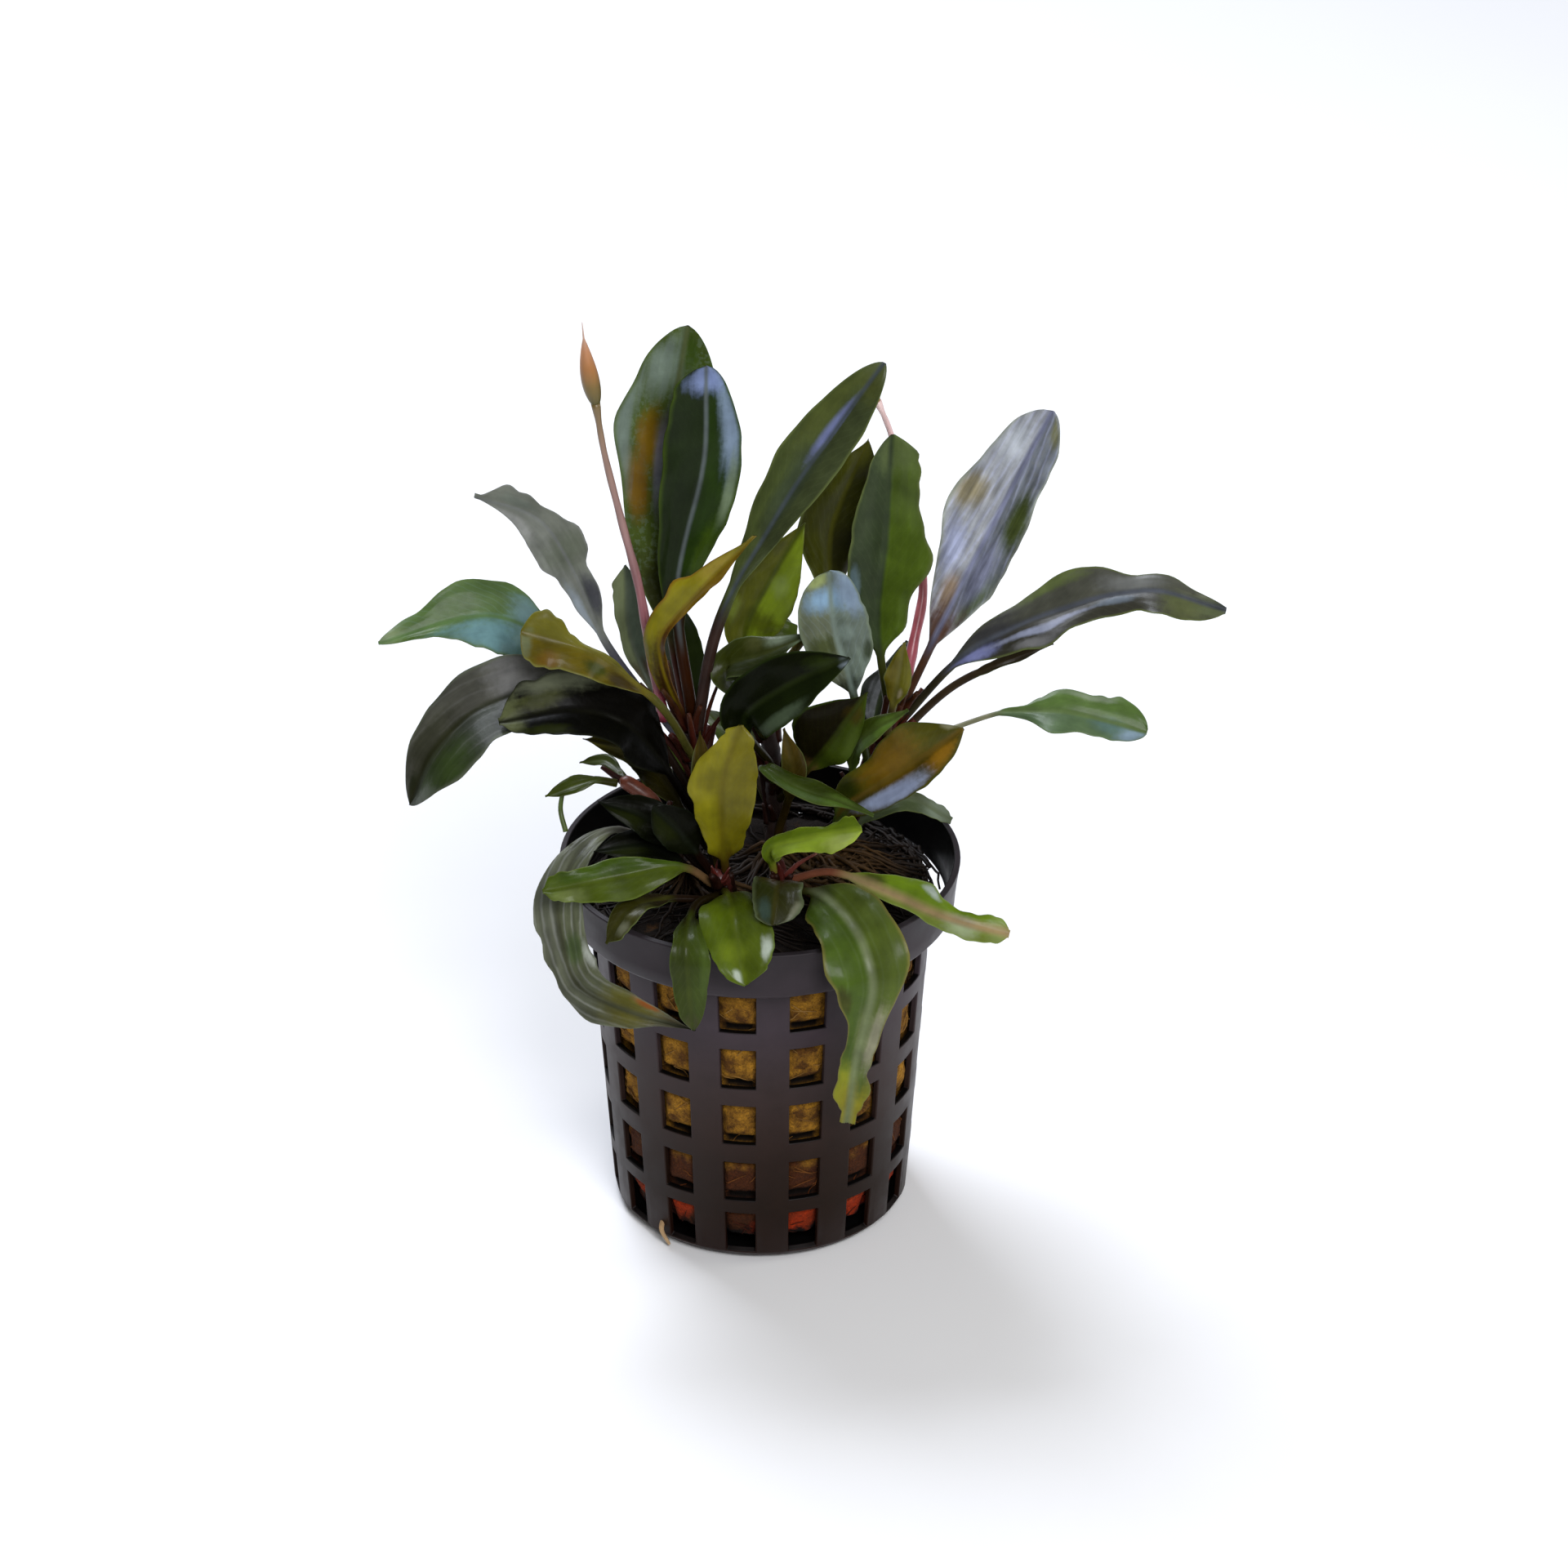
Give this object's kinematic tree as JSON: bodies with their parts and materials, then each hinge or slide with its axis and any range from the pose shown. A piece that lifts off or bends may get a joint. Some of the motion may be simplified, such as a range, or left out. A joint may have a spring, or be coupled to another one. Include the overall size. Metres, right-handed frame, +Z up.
{
  "type": "potted aquarium plant",
  "caption": "Small broad-leaved water plant rooted in a plug of mineral wool in a slotted plastic net pot, its leaves fanned out above the rim and hanging over it.",
  "frame": {"origin": "centre of the underside of the pot's floor, where the pot stands", "axes": "+Z up along the pot's axis; -Y is the front shown in the picture; +X to the right of the front"},
  "size_m": [0.1097, 0.0579, 0.1309],
  "materials": {
    "pot_plastic": "satin",
    "mineral_wool": "matte",
    "rhizome": "satin",
    "flower_stalk": "satin",
    "flower_bud": "satin",
    "leaf_dark": "gloss",
    "leaf_grey_green": "gloss",
    "leaf_green": "gloss",
    "leaf_olive": "gloss",
    "leaf_young": "gloss"
  },
  "bodies": {
    "root": {"pot": "pot_plastic", "mineral_wool": "mineral_wool", "stem_left": "rhizome", "stem_right": "rhizome", "stem_front_left": "rhizome", "stem_front_right": "rhizome", "stem_middle": "rhizome", "stem_side": "rhizome", "flower_stalk_left": "flower_stalk", "flower_stalk_right": "flower_stalk", "flower_bud_left": "flower_bud", "flower_bud_right": "flower_bud", "leaf_tall_back_left": "leaf_dark", "leaf_tall_left": "leaf_dark", "leaf_tall_middle": "leaf_dark", "leaf_young_left": "leaf_young", "leaf_hooked_upper_left": "leaf_grey_green", "leaf_small_behind_left": "leaf_grey_green", "leaf_far_left": "leaf_green", "leaf_olive_left": "leaf_olive", "leaf_big_left": "leaf_dark", "leaf_under_left": "leaf_dark", "leaf_yellow_left": "leaf_young", "leaf_curled_left": "leaf_grey_green", "leaf_tiny_left": "leaf_green", "leaf_tiny_left_upper": "leaf_green", "leaf_front_upright": "leaf_young", "leaf_olive_upright": "leaf_olive", "leaf_front_left": "leaf_green", "leaf_dark_front_left": "leaf_dark", "leaf_dark_left": "leaf_dark", "leaf_dark_round_left": "leaf_dark", "leaf_over_rim_left": "leaf_olive", "leaf_hanging_left": "leaf_green", "leaf_front_oval": "leaf_green", "leaf_front_round": "leaf_dark", "leaf_drooping_right": "leaf_green", "leaf_pink_rib_right": "leaf_green", "leaf_bright_right": "leaf_young", "leaf_olive_behind": "leaf_olive", "leaf_two_tone": "leaf_young", "leaf_dark_middle": "leaf_dark", "leaf_dark_inner": "leaf_dark", "leaf_small_brown": "leaf_olive", "leaf_light_right": "leaf_green", "leaf_dark_behind": "leaf_dark", "leaf_tall_right": "leaf_green", "leaf_glossy_right": "leaf_dark", "leaf_far_right": "leaf_dark", "leaf_under_right": "leaf_dark", "leaf_small_right": "leaf_green", "leaf_pale_middle": "leaf_grey_green", "leaf_mottled_right": "leaf_olive", "leaf_strip_right": "leaf_green", "leaf_yellow_small": "leaf_young", "leaf_rim_right": "leaf_grey_green", "leaf_back_left": "leaf_dark", "leaf_back_middle": "leaf_green", "leaf_back_right": "leaf_dark", "leaf_back_low": "leaf_green"}
  },
  "joints": []
}
